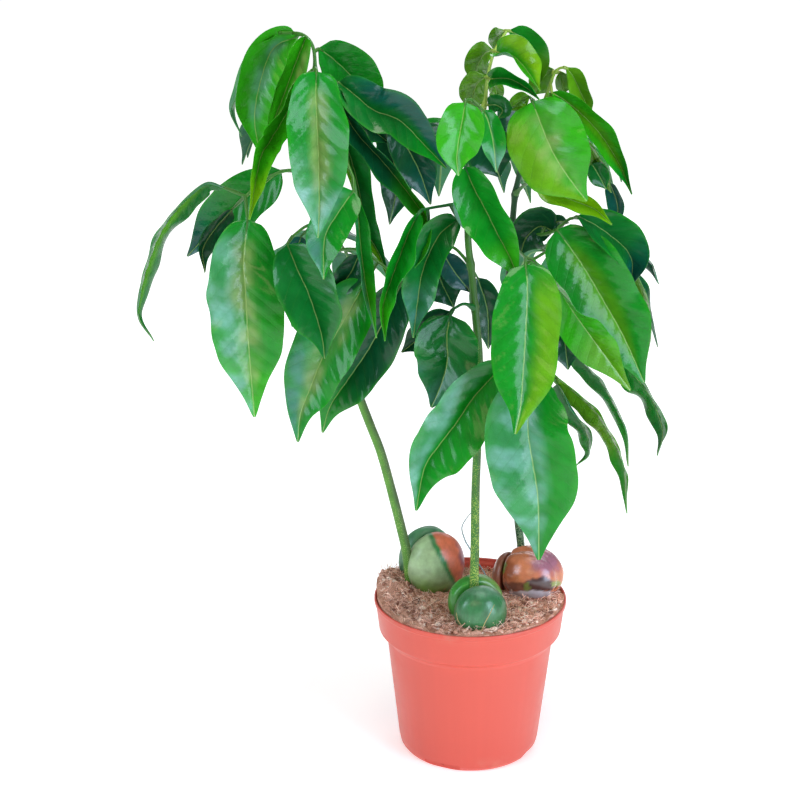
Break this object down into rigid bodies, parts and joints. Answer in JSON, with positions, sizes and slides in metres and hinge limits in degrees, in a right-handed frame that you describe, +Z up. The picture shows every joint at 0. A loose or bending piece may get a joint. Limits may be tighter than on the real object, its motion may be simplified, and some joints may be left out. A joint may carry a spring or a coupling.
{
  "type": "potted black bean tree",
  "caption": "Leafy bean-tree seedlings with drooping glossy leaflets, standing among their split seeds in soil in a small round nursery pot with a banded rim.",
  "frame": {"origin": "on the pot's axis, at the underside of its base", "axes": "+Z up along the pot's axis and the plants' height; -Y towards the side that the picture shows"},
  "size_m": [0.3145, 0.2265, 0.4531],
  "materials": {
    "pot": "satin",
    "soil": "rough",
    "stem": "satin",
    "green_seed": "satin",
    "dark_seed": "glossy",
    "brown_seed": "glossy",
    "young_leaf": "glossy",
    "mature_leaf": "glossy",
    "shaded_leaf": "glossy"
  },
  "bodies": {
    "root": {"pot": "pot", "soil": "soil", "left_stem": "stem", "middle_stem": "stem", "right_stem": "stem", "left_seed_front_half": "green_seed", "left_seed_back_half": "green_seed", "middle_seed_front_half": "dark_seed", "middle_seed_back_half": "dark_seed", "right_seed_main_half": "brown_seed", "right_seed_small_half": "brown_seed", "left_crown_frond": "young_leaf", "left_side_frond": "mature_leaf", "left_front_frond": "young_leaf", "left_inner_frond": "mature_leaf", "left_low_frond": "mature_leaf", "left_forward_frond": "mature_leaf", "left_centre_frond": "young_leaf", "middle_crown_frond": "young_leaf", "middle_front_frond": "young_leaf", "middle_low_frond": "mature_leaf", "middle_left_frond": "mature_leaf", "middle_bottom_frond": "mature_leaf", "middle_shaded_frond": "shaded_leaf", "right_crown_frond": "young_leaf", "right_front_frond": "mature_leaf", "right_middle_frond": "young_leaf", "right_side_frond": "mature_leaf", "right_low_frond": "mature_leaf", "right_forward_frond": "mature_leaf", "right_lower_frond": "mature_leaf", "right_back_frond": "mature_leaf", "left_rear_frond": "mature_leaf", "left_rear_low_frond": "mature_leaf", "middle_rear_frond": "mature_leaf", "right_rear_frond": "mature_leaf", "right_rear_low_frond": "mature_leaf"}
  },
  "joints": []
}
